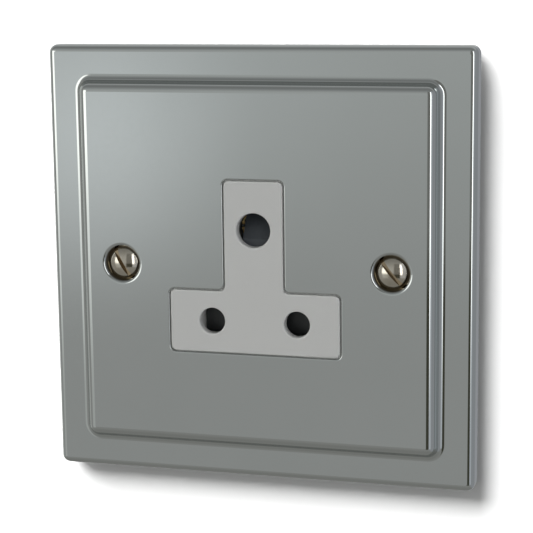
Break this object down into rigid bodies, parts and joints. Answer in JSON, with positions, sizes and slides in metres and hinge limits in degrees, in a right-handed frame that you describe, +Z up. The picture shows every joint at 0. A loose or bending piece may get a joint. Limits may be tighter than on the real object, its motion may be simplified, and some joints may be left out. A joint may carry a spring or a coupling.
{
  "type": "round pin socket",
  "caption": "Unswitched round pin wall socket: stepped polished metal plate, white inverted-T face with pin holes, spring shutter and rear housing with screw terminals.",
  "frame": {"origin": "middle of the plate on the wall plane, where the rim's back edge meets the wall", "axes": "+X right, +Y into the wall, +Z up; the plate faces -Y"},
  "size_m": [0.095, 0.0262, 0.095],
  "materials": {
    "polished_plate": "polished, grey reflections",
    "white_moulding": "smooth satin",
    "rear_plastic": "matt moulded",
    "dark_shutter": "smooth dark grey",
    "nickel_screw": "warm nickel plate",
    "brass_contact": "machined",
    "spring_steel": "drawn wire and strip",
    "zinc_steel": "zinc plated"
  },
  "bodies": {
    "socket": {"front_plate": "polished_plate", "plate_screw_left": "nickel_screw", "plate_screw_right": "nickel_screw", "face_moulding": "white_moulding", "shutter_spring": "spring_steel", "rear_moulding": "rear_plastic", "contact_neutral": "brass_contact", "contact_line": "brass_contact", "contact_earth": "brass_contact", "clip_neutral": "spring_steel", "clip_line": "spring_steel", "clip_earth": "spring_steel", "terminal_screw_neutral": "zinc_steel", "terminal_screw_line": "zinc_steel", "terminal_screw_earth": "zinc_steel", "housing_screws": "zinc_steel", "fixing_studs": "zinc_steel", "fixing_washers": "zinc_steel", "fixing_nuts": "zinc_steel", "earth_stud": "zinc_steel", "earth_stud_nut": "brass_contact", "earth_strap": "brass_contact", "earth_strap_screw": "brass_contact"},
    "shutter_slide": {"shutter": "dark_shutter"}
  },
  "joints": [
    {"name": "shutter_travel", "type": "slide", "parent": "socket", "child": "shutter_slide", "axis": [0, 0, -1], "range_m": [0, 0.0076], "stiffness_N_per_m": 120, "springref_m": -0.006, "deforming": ["shutter_spring"]}
  ]
}
